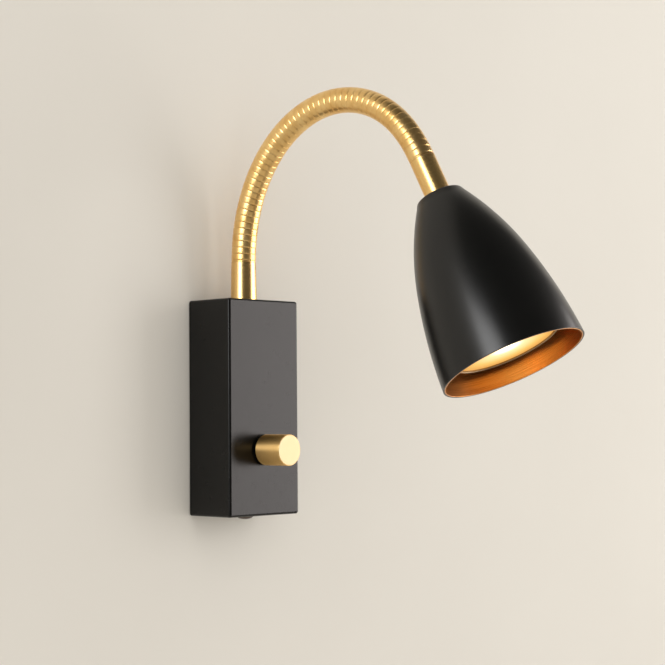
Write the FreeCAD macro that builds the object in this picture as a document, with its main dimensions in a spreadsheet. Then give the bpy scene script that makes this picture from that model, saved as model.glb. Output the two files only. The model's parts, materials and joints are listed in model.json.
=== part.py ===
import FreeCAD, Part
import math
import os
import re
import Sketcher
from FreeCAD import Placement, Rotation, Vector

# Bedside wall reading lamp: a flat box on the wall with a dimmer knob on its front, a flexible
# ribbed neck that rises from its top and bends over, and a bell-shaped shade round a 50 mm
# reflector lamp. All sizes are in millimetres. The origin is the middle of the box's back, on the
# wall: +Z is up, +X runs along the wall to the right, and -Y points out into the room.

SIZES = (
    ("housing_width", 46, "box, across"),
    ("housing_height", 105, "box, up and down"),
    ("housing_depth", 29, "box, out from the wall"),
    ("housing_wall", 1.5, "sheet of the box"),
    ("housing_bevel", 0.7, "bevel of the box's front and side edges"),
    ("slack_gap", 0.3, "clearance round pieces that are only laid together"),
    ("fit_gap", 0.05, "radial clearance of a thread, pin or shaft"),
    ("bracket_sheet", 1.5, "sheet of the wall bracket"),
    ("bracket_margin", 1.0, "clearance from the bracket's edge to the box's sides"),
    ("lip_width", 30, "bracket's top lip, across"),
    ("lip_depth", 5.5, "bracket's top lip, out from the wall"),
    ("tab_width", 16, "bracket's bottom tab, across"),
    ("tab_depth", 21, "bracket's bottom tab, out from the wall"),
    ("slot_spacing", 70, "between the two wall screws"),
    ("slot_width", 4.5, "slot for a wall screw, across"),
    ("slot_length", 8, "slot for a wall screw, end to end"),
    ("cable_bore", 4, "radius of the supply cable's way in"),
    ("grommet_wall", 1.8, "rubber round the cable"),
    ("grommet_flange", 1.8, "how far the grommet's flange stands out past its hole"),
    ("grommet_length", 4.5, "grommet, from the wall inwards"),
    ("cap_radius", 4.5, "round head of the screw under the box"),
    ("cap_height", 2.2, "how far that head stands below the box"),
    ("cap_chamfer", 1.3, "chamfer of that head"),
    ("cap_screw", 2, "radius of that screw's thread"),
    ("earth_screw_radius", 2, "radius of the earth screw's thread"),
    ("earth_head_radius", 3.6, "radius of the earth screw's head"),
    ("earth_head_height", 2.4, "height of the earth screw's head"),
    ("earth_edge", 7.5, "earth screw, from the bracket's right edge"),
    ("earth_drop", 3, "earth screw, below the middle"),
    ("nipple_radius", 4, "outside radius of the two threaded nipples"),
    ("nipple_bore", 2.7, "bore of the nipples"),
    ("nipple_grip", 8, "how far a nipple screws into its ferrule"),
    ("nut_flats", 12, "nipple nuts, across the flats"),
    ("nut_height", 3, "nipple nuts, height"),
    ("nipple_spare", 1, "how far the neck's nipple stands out past its nut"),
    ("washer_radius", 7.5, "washer under the neck's nut"),
    ("washer_sheet", 0.8, "thickness of that washer"),
    ("ferrule_length", 20, "smooth brass foot of the neck"),
    ("ferrule_foot", 6.5, "radius at the bottom of the foot"),
    ("ferrule_radius", 6.1, "radius at the top of the foot, and of the sleeve at the shade"),
    ("sleeve_length", 20.8, "smooth brass sleeve between neck and shade"),
    ("flex_length", 163, "ribbed stretch of the neck, along its middle line"),
    ("neck_radius", 6, "radius over the ribs"),
    ("rib_depth", 0.8, "depth of the grooves between the ribs"),
    ("neck_bore", 2.5, "radius of the wire's way through the neck"),
    ("neck_parting", 0.9, "half the gap between two lengths of neck, on the middle line"),
    ("nose_reach", 3.4, "how far a length's tip reaches into the next one"),
    ("bend_angle", 154, "degrees that the neck turns from upright to the shade"),
    ("swell_share", 1.04, "how much more the neck bends in its sharpest stretch"),
    ("swing_angle", 9.2, "degrees that the neck is swung round towards +X"),
    ("shade_length", 85.6, "shade, top to mouth"),
    ("shade_top", 10.6, "radius at the top of the shade"),
    ("shade_waist", 26.9, "radius where the shade's two curves meet"),
    ("waist_depth", 38.6, "from the shade's top to where its curves meet"),
    ("shade_mouth", 33.7, "radius at the mouth"),
    ("shade_curve", 136, "radius of the upper curve"),
    ("shade_bevel", 1.3, "bevel of the shade's top edge"),
    ("shade_wall", 1.2, "sheet of the shade"),
    ("plate_width", 10, "strap that carries the lampholder, across"),
    ("plate_length", 17, "strap that carries the lampholder, end to end"),
    ("plate_sheet", 1, "thickness of that strap"),
    ("crown_width", 12, "lampholder's upper step, across its pins"),
    ("crown_height", 5, "height of that step"),
    ("holder_width", 20, "lampholder, across its pins"),
    ("holder_length", 17, "lampholder, the other way"),
    ("holder_height", 18.6, "lampholder, top to lamp"),
    ("lead_chamber", 9, "depth of the lampholder's wire chamber"),
    ("holder_screw", 1.5, "radius of the lampholder's screws"),
    ("holder_screw_head", 2.5, "radius of their heads"),
    ("holder_head_height", 1.8, "height of their heads"),
    ("holder_screw_offset", 6.3, "from the axis to each of them"),
    ("pin_offset", 5, "from the axis to each lamp pin"),
    ("pin_radius", 2.4, "lamp pin"),
    ("pin_length", 7, "lamp pin"),
    ("lamp_base_radius", 12.5, "lamp's base"),
    ("lamp_base_height", 9, "lamp's base"),
    ("lamp_radius", 25, "lamp's face"),
    ("lamp_length", 54, "lamp, base to face"),
    ("lamp_rim_height", 8, "straight rim round the lamp's face"),
    ("lamp_rim_wall", 1, "wall of that rim"),
    ("lens_sheet", 1.6, "thickness of the lamp's lens"),
    ("lens_set_in", 0.2, "how far the lens lies inside the rim"),
    ("knob_drop", 20.6, "knob, below the middle of the box"),
    ("knob_radius", 7.5, "knob"),
    ("knob_length", 16, "knob"),
    ("knob_gap", 1.3, "between knob and box"),
    ("knob_chamfer", 0.4, "chamfer of the knob's front edge"),
    ("knob_pocket", 6.3, "radius of the pocket in the knob's back that clears the nut"),
    ("knob_pocket_depth", 2.5, "depth of that pocket"),
    ("shaft_radius", 3, "dimmer's shaft"),
    ("shaft_length", 21, "dimmer's shaft"),
    ("shaft_flat", 1.5, "from the shaft's axis to its flat"),
    ("shaft_sink", 6, "how far the shaft reaches into the dimmer from its front"),
    ("grub_radius", 1.5, "knob's grub screw"),
    ("grub_place", 8.5, "grub screw, from the knob's back"),
    ("dimmer_radius", 8.25, "dimmer's metal case"),
    ("dimmer_height", 9, "dimmer's metal case"),
    ("bushing_radius", 3.6, "dimmer's threaded bushing"),
    ("bushing_spare", 0.5, "how far the bushing stands out past its nut"),
    ("bushing_flats", 10, "dimmer's nut, across the flats"),
    ("bushing_nut_height", 2, "dimmer's nut"),
    ("bushing_washer", 0.5, "dimmer's washer, thickness"),
    ("bushing_washer_radius", 5.6, "dimmer's washer, radius"),
    ("board_width", 34, "circuit board, across"),
    ("board_height", 30, "circuit board, up and down"),
    ("board_sheet", 1.6, "circuit board"),
    ("part_height", 9, "tallest pieces on the board"),
    ("inlet_width", 20, "board's wire terminal, across"),
    ("inlet_height", 7, "board's wire terminal, up and down"),
    ("inlet_reach", 2, "how far that terminal stands out past the supply wires' line"),
    ("capacitor_width", 13, "filter capacitor, across"),
    ("capacitor_sheet", 6, "filter capacitor, up and down"),
    ("triac_width", 10, "power switch, across"),
    ("triac_sheet", 4.5, "power switch, up and down"),
    ("part_margin", 2, "from the board's edge to the pieces on it"),
    ("block_width", 28, "terminal block, across"),
    ("block_height", 14, "terminal block, up and down"),
    ("block_depth", 10, "terminal block, out from the bracket"),
    ("block_place", 22, "middle of the terminal block, above the origin"),
    ("block_pitch", 9, "between its wire ways"),
    ("wire_way", 1.3, "half the side of each square wire way"),
    ("wire_line", 9, "wire ways, out from the wall"),
    ("way_rib", 2, "between the upper and lower wire ways"),
    ("block_screw_radius", 1.25, "terminal block's screw"),
    ("block_screw_head", 2.2, "radius of its head"),
    ("block_sink", 3, "how deep its head's well is"),
    ("block_head_height", 1.6, "height of its head"),
    ("core_radius", 0.9, "one insulated wire"),
    ("core_spacing", 2.4, "between the two wires of the lamp's lead"),
    ("wire_tuck", 4, "how far a supply wire enters the terminal block"),
)
LINK_COUNT = 17      # lengths of neck that turn on each other
RIBS_PER_LINK = 3    # turns of the neck's winding in each length
NECK_SIDES = 20      # flat sides that stand for the round of the neck and its ferrules
WASHER_SIDES = 24    # flat sides that stand for the round of a washer
LAMP_SIDES = 36      # flat sides that stand for the round of the lamp's reflector
SHADE_SIDES = 48     # flat sides that stand for the round of the shade
CURVE_STEPS = 4      # straight steps that stand for each of the shade's two curves

WORD = re.compile(r"\b[a-z]+(?:_[a-z]+)+\b")
doc = FreeCAD.newDocument("wall_reading_lamp")
sheet = doc.addObject("Spreadsheet::Sheet", "Sizes")
for row, (word, number, note) in enumerate(SIZES, 1):
    sheet.set(f"A{row}", word)
    sheet.set(f"B{row}", str(number))
    sheet.set(f"C{row}", note)
    sheet.setAlias(f"B{row}", word)
doc.recompute()
pieces = []   # every finished piece, in the order in which it is made


def size(word):
    """One driving size as a plain number."""
    return float(sheet.get(word))


def bind(thing, prop, formula):
    """Tie a property to the sheet: a formula is written with the sheet's own words."""
    thing.setExpression(prop, WORD.sub(r"Sizes.\g<0>", formula))


def keep(piece, node):
    """Name a finished piece after its node."""
    piece.Label = node
    pieces.append(piece)
    return piece


# --- outlines and features -------------------------------------------------------------------


def new_body(node):
    return keep(doc.addObject("PartDesign::Body", node), node)


def new_sketch(body, name, role, level=None):
    """A sketch on one of the body's own planes, or at a level above it."""
    sketch = body.newObject("Sketcher::SketchObject", name + "_sketch")
    plane = next(item for item in body.Origin.OriginFeatures if item.Role == role)
    sketch.AttachmentSupport = [(plane, "")]
    sketch.MapMode = "FlatFace"
    if level:
        bind(sketch, "AttachmentOffset.Base.z", level)
    return sketch


def pin_point(sketch, edge, point, x, y):
    """Hold one point of a sketch at two formulas; "0" lays it on the sketch's own axis."""
    for kind, formula, axis in (("DistanceX", x, -2), ("DistanceY", y, -1)):
        if formula == "0":
            sketch.addConstraint(Sketcher.Constraint("PointOnObject", edge, point, axis))
        else:
            spot = sketch.getPoint(edge, point)
            start = spot.x if kind == "DistanceX" else spot.y
            rule = Sketcher.Constraint(kind, -1, 1, edge, point, start)
            bind(sketch, f"Constraints[{sketch.addConstraint(rule)}]", formula)


def draw_outline(sketch, corners):
    """A closed outline with straight edges through corners given as pairs of formulas."""
    count, first = len(corners), sketch.GeometryCount
    spots = [Vector(1.0 + 1.3 * i, 1.0 + 2.1 * (i % 3), 0) for i in range(count)]
    for i in range(count):
        sketch.addGeometry(Part.LineSegment(spots[i], spots[(i + 1) % count]), False)
    for i in range(count):
        after = first + (i + 1) % count
        sketch.addConstraint(Sketcher.Constraint("Coincident", first + i, 2, after, 1))
    for i, (x, y) in enumerate(corners):
        pin_point(sketch, first + i, 1, x, y)


def box_outline(x_half, y_low, y_high):
    return [(f"-({x_half})", y_low), (x_half, y_low), (x_half, y_high), (f"-({x_half})", y_high)]


def revolve(body, name, sketch):
    turning = body.newObject("PartDesign::Revolution", name)
    turning.Profile = sketch
    turning.ReferenceAxis = (sketch, ["V_Axis"])
    turning.Angle = 360
    return turning


def turned(node, corners):
    """A piece turned about its own Z axis, from an outline of (radius, height) corners."""
    body = new_body(node)
    sketch = new_sketch(body, node, "XZ_Plane")
    draw_outline(sketch, corners)
    revolve(body, node + "_turning", sketch)
    return body


def ring(inner, outer, low, high):
    return [(inner, low), (outer, low), (outer, high), (inner, high)]


def faceted(node, corners, sides):
    """A piece with a bore, its closed (radius, height) outline carried round Z in flat sides."""
    turn = 2 * math.pi / sides
    rings = [
        [Vector(r * math.cos(k * turn), r * math.sin(k * turn), z) for k in range(sides + 1)]
        for r, z in corners
    ]
    faces = []
    for first, second in zip(rings, rings[1:] + rings[:1]):
        for k in range(sides):
            loop = [first[k], first[k + 1], second[k + 1], second[k], first[k]]
            faces.append(Part.Face(Part.makePolygon(loop)))
    joined = Part.Compound(faces)
    joined.sewShape()
    solid = Part.Solid(joined.Shells[0])
    if solid.Volume < 0:
        solid.reverse()
    piece = doc.addObject("Part::Feature", node)
    piece.Shape = solid
    return keep(piece, node)


def add_pad(body, name, role, corners, length, level=None):
    sketch = new_sketch(body, name, role, level)
    draw_outline(sketch, corners)
    pad = body.newObject("PartDesign::Pad", name)
    pad.Profile = sketch
    bind(pad, "Length", length)
    return pad


def add_pocket(body, name, sketch, depth, flip):
    """Cut a sketch away to a depth, or right through; flip cuts along the sketch's normal."""
    pocket = body.newObject("PartDesign::Pocket", name)
    pocket.Profile = sketch
    pocket.Type = "Length" if depth else "ThroughAll"
    pocket.Reversed = flip
    if depth:
        bind(pocket, "Length", depth)
    return pocket


def cut_outline(body, name, role, corners, depth=None, level=None, flip=False):
    sketch = new_sketch(body, name, role, level)
    draw_outline(sketch, corners)
    return add_pocket(body, name, sketch, depth, flip)


def cut_squares(body, name, role, squares, depth, level, flip=False):
    """Square holes, each (x, y, half a side) in the directions of its plane."""
    sketch = new_sketch(body, name, role, level)
    for x, y, half in squares:
        corners = [(f"{x} {a} {half}", f"{y} {b} {half}") for a, b in ("--", "+-", "++", "-+")]
        draw_outline(sketch, corners)
    return add_pocket(body, name, sketch, depth, flip)


def cut_holes(body, name, role, circles, depth=None, level=None, flip=False):
    """Round holes, each (x, y, radius) in the directions of its plane."""
    sketch = new_sketch(body, name, role, level)
    for edge, (x, y, radius) in enumerate(circles):
        spot = Vector(1.0 + 5.0 * edge, 2.0, 0)
        sketch.addGeometry(Part.Circle(spot, Vector(0, 0, 1), 1.0), False)
        pin_point(sketch, edge, 3, x, y)
        rule = sketch.addConstraint(Sketcher.Constraint("Radius", edge, 1.0))
        bind(sketch, f"Constraints[{rule}]", radius)
    return add_pocket(body, name, sketch, depth, flip)


def bevel_edges(body, name, width, chosen):
    """Bevel the edges of the body's last feature that the test picks."""
    doc.recompute()
    base = body.Tip
    names = [f"Edge{i}" for i, edge in enumerate(base.Shape.Edges, 1) if chosen(edge)]
    bevel = body.newObject("PartDesign::Chamfer", name)
    bevel.Base = (base, names)
    bind(bevel, "Size", width)
    return bevel


def cylinder(name, radius, height):
    rod = doc.addObject("Part::Cylinder", name)
    bind(rod, "Radius", radius)
    bind(rod, "Height", height)
    return rod


def move(thing, x=None, y=None, z=None):
    for axis, formula in (("x", x), ("y", y), ("z", z)):
        if formula:
            bind(thing, f"Placement.Base.{axis}", formula)
    return thing


def hex_nut(node, flats, height, bore):
    """A hexagon nut that stands on its own XY plane."""
    blank = doc.addObject("Part::Prism", node + "_blank")
    blank.Polygon = 6
    bind(blank, "Circumradius", f"{flats} / 2 / cos(30 deg)")
    bind(blank, "Height", height)
    nut = doc.addObject("Part::Cut", node)
    nut.Base = blank
    nut.Tool = cylinder(node + "_thread", bore, height)
    return keep(nut, node)


def flat_washer(node, thread, outside, thickness):
    """A washer that stands on its own XY plane and fits round a thread."""
    inner, height = size(thread) + size("fit_gap"), size(thickness)
    corners = [(inner, 0), (size(outside), 0), (size(outside), height), (inner, height)]
    return faceted(node, corners, WASHER_SIDES)


# --- places that several pieces share ----------------------------------------------------------

OUTWARDS = Rotation(Vector(1, 0, 0), 90)   # turns a piece's own Z axis to point out of the wall
TOP = "housing_height / 2"
NECK_LINE = "-housing_depth / 2"   # the neck and the screw under the box stand on this line
BRACKET_HALF = "(housing_width / 2 - housing_wall - bracket_margin)"
EARTH_PLACE = (f"{BRACKET_HALF} - earth_edge", "-earth_drop")
BLOCK_SCREW = ("block_pitch / 2", "block_place")
BOARD_BACK = "(housing_depth - housing_wall - dimmer_height - board_sheet)"
BUSHING_END = "(housing_depth + bushing_washer + bushing_nut_height + bushing_spare)"
KNOB_BACK = "(housing_depth + knob_gap)"
SHAFT_END = "(housing_depth - housing_wall - shaft_sink + shaft_length)"
INLET_TOP = "(board_height / 2 - part_margin)"
RIB_COUNT = LINK_COUNT * RIBS_PER_LINK
PLATE_TOP = "(shade_wall + nut_height)"
HOLDER_TOP = "(shade_wall + nut_height + plate_sheet)"
HOLDER_STACK = ("shade_wall", "nut_height", "plate_sheet", "holder_height")
HOLDER_FACE = f"({' + '.join(HOLDER_STACK)})"
LAMP_FACE = f"({HOLDER_FACE} + lamp_length)"


# --- box on the wall ---------------------------------------------------------------------------


def make_wall_bracket():
    """A steel plate on the wall; its lip holds the box's top and its tab takes the box's screw."""
    body = new_body("wall_bracket")
    seat = "(housing_height / 2 - housing_wall - slack_gap)"
    add_pad(body, "plate", "XZ_Plane", box_outline(BRACKET_HALF, f"-{seat}", seat), "bracket_sheet")
    lip = box_outline("lip_width / 2", f"{seat} - bracket_sheet", seat)
    add_pad(body, "lip", "XZ_Plane", lip, "lip_depth")
    tab = box_outline("tab_width / 2", f"-{seat}", f"bracket_sheet - {seat}")
    add_pad(body, "tab", "XZ_Plane", tab, "tab_depth")
    cut_holes(body, "tab_thread", "XY_Plane", [("0", NECK_LINE, "cap_screw + fit_gap")])
    through = [
        ("0", "0", "cable_bore + grommet_wall + fit_gap"),
        (*EARTH_PLACE, "earth_screw_radius + fit_gap"),
        (*BLOCK_SCREW, "block_screw_radius + fit_gap"),
    ]
    cut_holes(body, "plate_holes", "XZ_Plane", through, flip=True)
    for name, sign in (("upper_slot", ""), ("lower_slot", "-")):
        sketch = new_sketch(body, name, "XZ_Plane")
        draw_slot(sketch, f"{sign}slot_spacing / 2")
        add_pocket(body, name, sketch, None, True)
    return body


def draw_slot(sketch, middle):
    """An upright slot with round ends, centred on the sketch's vertical axis."""
    wide = size("slot_width") / 2
    rise = size("slot_length") / 2 - wide
    centre = size("slot_spacing") / 2 * (-1 if middle.startswith("-") else 1)
    low, high = Vector(0, centre - rise, 0), Vector(0, centre + rise, 0)
    side = Vector(wide, 0, 0)
    sketch.addGeometry(Part.LineSegment(low + side, high + side), False)
    circle = Part.Circle(high, Vector(0, 0, 1), wide)
    sketch.addGeometry(Part.ArcOfCircle(circle, 0, math.pi), False)
    sketch.addGeometry(Part.LineSegment(high - side, low - side), False)
    circle = Part.Circle(low, Vector(0, 0, 1), wide)
    sketch.addGeometry(Part.ArcOfCircle(circle, math.pi, 2 * math.pi), False)
    for first, end, second, start in ((0, 2, 1, 1), (1, 2, 2, 1), (2, 2, 3, 1), (3, 2, 0, 1)):
        sketch.addConstraint(Sketcher.Constraint("Tangent", first, end, second, start))
    reach = "(slot_length - slot_width) / 2"
    pin_point(sketch, 1, 3, "0", f"{middle} + {reach}")
    pin_point(sketch, 3, 3, "0", f"{middle} - {reach}")
    rule = sketch.addConstraint(Sketcher.Constraint("Radius", 1, wide))
    bind(sketch, f"Constraints[{rule}]", "slot_width / 2")


def make_cable_grommet():
    """A rubber ring in the bracket's cable hole, with its flange on the inside."""
    hole = "cable_bore + grommet_wall"
    flange = "cable_bore + grommet_wall + grommet_flange"
    corners = [
        ("cable_bore", "0"),
        (hole, "0"),
        (hole, "bracket_sheet"),
        (flange, "bracket_sheet"),
        (flange, "grommet_length"),
        ("cable_bore", "grommet_length"),
    ]
    body = turned("cable_grommet", corners)
    body.Placement.Rotation = OUTWARDS
    return body


def make_housing_cover():
    """A five-sided box, open to the wall, bent from sheet."""
    body = new_body("housing_cover")
    half, tall = "housing_width / 2", "housing_height / 2"
    add_pad(body, "block", "XZ_Plane", box_outline(half, f"-{tall}", tall), "housing_depth")
    off_the_wall = -size("housing_wall") / 2
    bevel_edges(body, "bends", "housing_bevel", lambda e: e.CenterOfMass.y < off_the_wall)
    inside = box_outline(f"{half} - housing_wall", f"housing_wall - {tall}", f"{tall} - housing_wall")
    cut_outline(body, "inside", "XZ_Plane", inside, "housing_depth - housing_wall", flip=True)
    neck_hole = [("0", NECK_LINE, "nipple_radius + slack_gap")]
    cut_holes(body, "neck_hole", "XY_Plane", neck_hole, flip=True)
    cut_holes(body, "screw_hole", "XY_Plane", [("0", NECK_LINE, "cap_screw + slack_gap")])
    shaft_hole = [("0", "-knob_drop", "bushing_radius + slack_gap")]
    cut_holes(body, "shaft_hole", "XZ_Plane", shaft_hole, flip=True)
    return body


def make_cover_screw():
    """A screw with a round head under the box: it draws the box onto the bracket's tab."""
    tip = "housing_wall + slack_gap + bracket_sheet + slack_gap"
    corners = [
        ("0", "-cap_height"),
        ("cap_radius - cap_chamfer", "-cap_height"),
        ("cap_radius", "cap_chamfer - cap_height"),
        ("cap_radius", "0"),
        ("cap_screw", "0"),
        ("cap_screw", tip),
        ("0", tip),
    ]
    body = turned("cover_screw", corners)
    return move(body, y=NECK_LINE, z=f"-{TOP}")


def make_earth_screw():
    """The screw that clamps the supply's earth wire to the bracket."""
    lift = "bracket_sheet + core_radius"
    corners = [
        ("0", "slack_gap"),
        ("earth_screw_radius", "slack_gap"),
        ("earth_screw_radius", lift),
        ("earth_head_radius", lift),
        ("earth_head_radius", f"{lift} + earth_head_height"),
        ("0", f"{lift} + earth_head_height"),
    ]
    body = turned("earth_screw", corners)
    body.Placement.Rotation = OUTWARDS
    return move(body, x=EARTH_PLACE[0], z=EARTH_PLACE[1])


def make_terminal_block():
    """A three-way push-in block on the bracket: supply wires above, the lamp's own wires below."""
    body = new_body("terminal_block")
    high, low = "block_place + block_height / 2", "block_place - block_height / 2"
    outline = box_outline("block_width / 2", low, high)
    add_pad(body, "block_body", "XZ_Plane", outline, "block_depth", "bracket_sheet")
    ways = [(x, "-wire_line", "wire_way") for x in ("-block_pitch", "0", "block_pitch")]
    depth = "(block_height - way_rib) / 2"
    cut_squares(body, "lower_ways", "XY_Plane", ways, depth, low, flip=True)
    cut_squares(body, "upper_ways", "XY_Plane", ways, depth, high)
    shank = [(*BLOCK_SCREW, "block_screw_radius + fit_gap")]
    cut_holes(body, "screw_way", "XZ_Plane", shank, flip=True)
    well = [(*BLOCK_SCREW, "block_screw_head + slack_gap")]
    cut_holes(body, "screw_well", "XZ_Plane", well, "block_sink", "bracket_sheet + block_depth")
    return body


def make_block_screw():
    """The screw that holds the terminal block, with its head sunk into the block."""
    floor = "bracket_sheet + block_depth - block_sink"
    corners = [
        ("0", "slack_gap"),
        ("block_screw_radius", "slack_gap"),
        ("block_screw_radius", floor),
        ("block_screw_head", floor),
        ("block_screw_head", f"{floor} + block_head_height"),
        ("0", f"{floor} + block_head_height"),
    ]
    body = turned("block_screw", corners)
    body.Placement.Rotation = OUTWARDS
    return move(body, x=BLOCK_SCREW[0], z=BLOCK_SCREW[1])


def make_wire_pair(node, apart, low, high):
    """Two straight insulated wires side by side, in one node."""
    pair = doc.addObject("Part::Compound", node)
    wires = []
    for side, sign in (("left", "-"), ("right", "")):
        wire = cylinder(f"{node}_{side}", "core_radius", f"{high} - ({low})")
        move(wire, x=f"{sign}({apart})", z=low)
        wires.append(wire)
    pair.Links = wires
    return keep(pair, node)


def make_box_wires():
    """The supply's wires from block to board, and the lamp's lead from board to neck."""
    board_top = f"{INLET_TOP} - knob_drop"
    tucked = "block_place - block_height / 2 + wire_tuck"
    supply = make_wire_pair("supply_leads", "block_pitch", board_top, tucked)
    move(supply, y="-wire_line")
    lead = make_wire_pair("lamp_leads", "core_spacing / 2", board_top, f"{TOP} + nipple_grip")
    move(lead, y=NECK_LINE)


# --- the dimmer and its knob -------------------------------------------------------------------


def on_dimmer_axis(piece):
    """Lay a piece's own Z axis on the dimmer's shaft, with its origin on the wall."""
    piece.Placement.Rotation = OUTWARDS
    return move(piece, z="-knob_drop")


def make_dimmer():
    """The dimmer's case behind the box's front, with the bushing that comes out through it."""
    back = "(housing_depth - housing_wall - dimmer_height)"
    front = "(housing_depth - housing_wall)"
    bore = "shaft_radius + fit_gap"
    floor = f"{front} - shaft_sink - slack_gap"
    corners = [
        ("0", back),
        ("dimmer_radius", back),
        ("dimmer_radius", front),
        ("bushing_radius", front),
        ("bushing_radius", BUSHING_END),
        (bore, BUSHING_END),
        (bore, floor),
        ("0", floor),
    ]
    on_dimmer_axis(turned("dimmer_body", corners))
    hole = "bushing_radius + fit_gap"
    washer = flat_washer("dimmer_washer", "bushing_radius", "bushing_washer_radius", "bushing_washer")
    washer.Placement.Rotation = OUTWARDS
    move(washer, y="-housing_depth", z="-knob_drop")
    nut = hex_nut("dimmer_nut", "bushing_flats", "bushing_nut_height", hole)
    nut.Placement.Rotation = OUTWARDS
    move(nut, y="-(housing_depth + bushing_washer)", z="-knob_drop")


def make_dimmer_shaft():
    """A round shaft with a flat for the knob's grub screw."""
    start = "(housing_depth - housing_wall - shaft_sink)"
    corners = [("0", start), ("shaft_radius", start), ("shaft_radius", SHAFT_END), ("0", SHAFT_END)]
    body = turned("dimmer_shaft", corners)
    flat = box_outline("2 * shaft_radius", "-2 * shaft_radius", "-shaft_flat")
    level = f"{KNOB_BACK} + knob_pocket_depth"
    cut_outline(body, "flat", "XY_Plane", flat, level=level, flip=True)
    return on_dimmer_axis(body)


def make_knob():
    """A plain brass knob: a pocket in its back clears the dimmer's nut."""
    bore = "shaft_radius + fit_gap"
    front = f"{KNOB_BACK} + knob_length"
    corners = [
        ("knob_pocket", KNOB_BACK),
        ("knob_radius", KNOB_BACK),
        ("knob_radius", f"{front} - knob_chamfer"),
        ("knob_radius - knob_chamfer", front),
        ("0", front),
        ("0", f"{SHAFT_END} + slack_gap"),
        (bore, f"{SHAFT_END} + slack_gap"),
        (bore, f"{KNOB_BACK} + knob_pocket_depth"),
        ("knob_pocket", f"{KNOB_BACK} + knob_pocket_depth"),
    ]
    body = turned("knob", corners)
    hole = [("0", f"{KNOB_BACK} + grub_place", "grub_radius + fit_gap")]
    cut_holes(body, "grub_hole", "XZ_Plane", hole, flip=True)
    return on_dimmer_axis(body)


def make_grub_screw():
    """A headless screw in the knob's underside, against the shaft's flat."""
    length = "knob_radius - shaft_flat - fit_gap - slack_gap"
    screw = keep(cylinder("grub_screw", "grub_radius", length), "grub_screw")
    screw.Placement.Rotation = Rotation(Vector(1, 0, 0), 180)
    depth = f"-({KNOB_BACK} + grub_place)"
    return move(screw, y=depth, z="-(knob_drop + shaft_flat + fit_gap)")


def board_piece(node, x_low, width, y_low, height, depth):
    """A block-shaped piece on the back of the circuit board, from its lower left corner."""
    block = doc.addObject("Part::Box", node)
    bind(block, "Length", width)
    bind(block, "Width", depth)
    bind(block, "Height", height)
    move(block, x=x_low, y=f"-{BOARD_BACK}", z=f"{y_low} - knob_drop")
    return keep(block, node)


def make_circuit_board():
    """The dimmer's board, on the back of its case, with the pieces that it carries."""
    board = doc.addObject("Part::Box", "dimmer_board")
    bind(board, "Length", "board_width")
    bind(board, "Width", "board_sheet")
    bind(board, "Height", "board_height")
    front = f"-({BOARD_BACK} + board_sheet)"
    move(board, x="-board_width / 2", y=front, z="-board_height / 2 - knob_drop")
    keep(board, "dimmer_board")
    low = "part_margin - board_height / 2"
    left = "part_margin - board_width / 2"
    right = "board_width / 2 - part_margin - triac_width"
    inlet_low = f"{INLET_TOP} - inlet_height"
    reach = f"{BOARD_BACK} - wire_line + inlet_reach"
    board_piece("board_terminal", "-inlet_width / 2", "inlet_width", inlet_low, "inlet_height", reach)
    board_piece("filter_capacitor", left, "capacitor_width", low, "capacitor_sheet", "part_height")
    board_piece("power_switch", right, "triac_width", low, "triac_sheet", "part_height")


# --- the neck ----------------------------------------------------------------------------------


def make_neck_fixing():
    """The nipple through the box's top, with its washer and nut inside, and the neck's foot."""
    spare = "(housing_wall + washer_sheet + nut_height + nipple_spare)"
    nipple = turned("neck_nipple", ring("nipple_bore", "nipple_radius", f"-{spare}", "nipple_grip"))
    thread = "nipple_radius + fit_gap"
    under = "(housing_wall + washer_sheet)"
    washer = flat_washer("neck_washer", "nipple_radius", "washer_radius", "washer_sheet")
    foot = make_base_ferrule()
    for piece in (nipple, foot):
        move(piece, y=NECK_LINE, z=TOP)
    move(washer, y=NECK_LINE, z=f"{TOP} - {under}")
    nut = hex_nut("neck_nut", "nut_flats", "nut_height", thread)
    move(nut, y=NECK_LINE, z=f"{TOP} - {under} - nut_height")


def rim_radius():
    """The neck's radius where one length parts from the next, part of the way up a rib."""
    pitch = size("flex_length") / RIB_COUNT
    return size("neck_radius") - size("rib_depth") * (1 - 2 * size("neck_parting") / pitch)


def make_base_ferrule():
    """The neck's smooth foot: threaded inside, with a nose that stands in the first length."""
    thread = size("nipple_radius") + size("fit_gap")
    seat = size("nipple_grip") + size("slack_gap")
    length, bore = size("ferrule_length"), size("neck_bore")
    corners = [
        (thread, 0),
        (size("ferrule_foot"), 0),
        (size("ferrule_radius"), length - size("neck_parting")),
        (rim_radius(), length - size("neck_parting")),
        (bore, length + size("nose_reach")),
        (bore, seat),
        (thread, seat),
    ]
    return faceted("base_ferrule", corners, NECK_SIDES)


def neck_frames():
    """Where each length of neck starts and points.

    The neck's bend at a parting grows and falls along the neck as
    1 + swell_share * sin(pi * u * u), with u from 0 at the foot to 1 at the shade. The first and
    last partings each stand for half a length. All of them together make bend_angle.
    """
    weights = [1 + size("swell_share") * math.sin(math.pi * (i / LINK_COUNT) ** 2)
               for i in range(LINK_COUNT + 1)]
    weights[0] /= 2
    weights[-1] /= 2
    step = Vector(0, 0, size("flex_length") / LINK_COUNT)
    swing = Rotation(Vector(0, 0, 1), size("swing_angle"))
    spot = Vector(0, -size("housing_depth") / 2, size("housing_height") / 2 + size("ferrule_length"))
    frames, turned_by = [], 0.0
    for weight in weights:
        turned_by += size("bend_angle") * weight / sum(weights)
        frames.append(Placement(spot, swing * Rotation(Vector(1, 0, 0), turned_by)))
        spot = frames[-1].multVec(step)
    return frames


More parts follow.
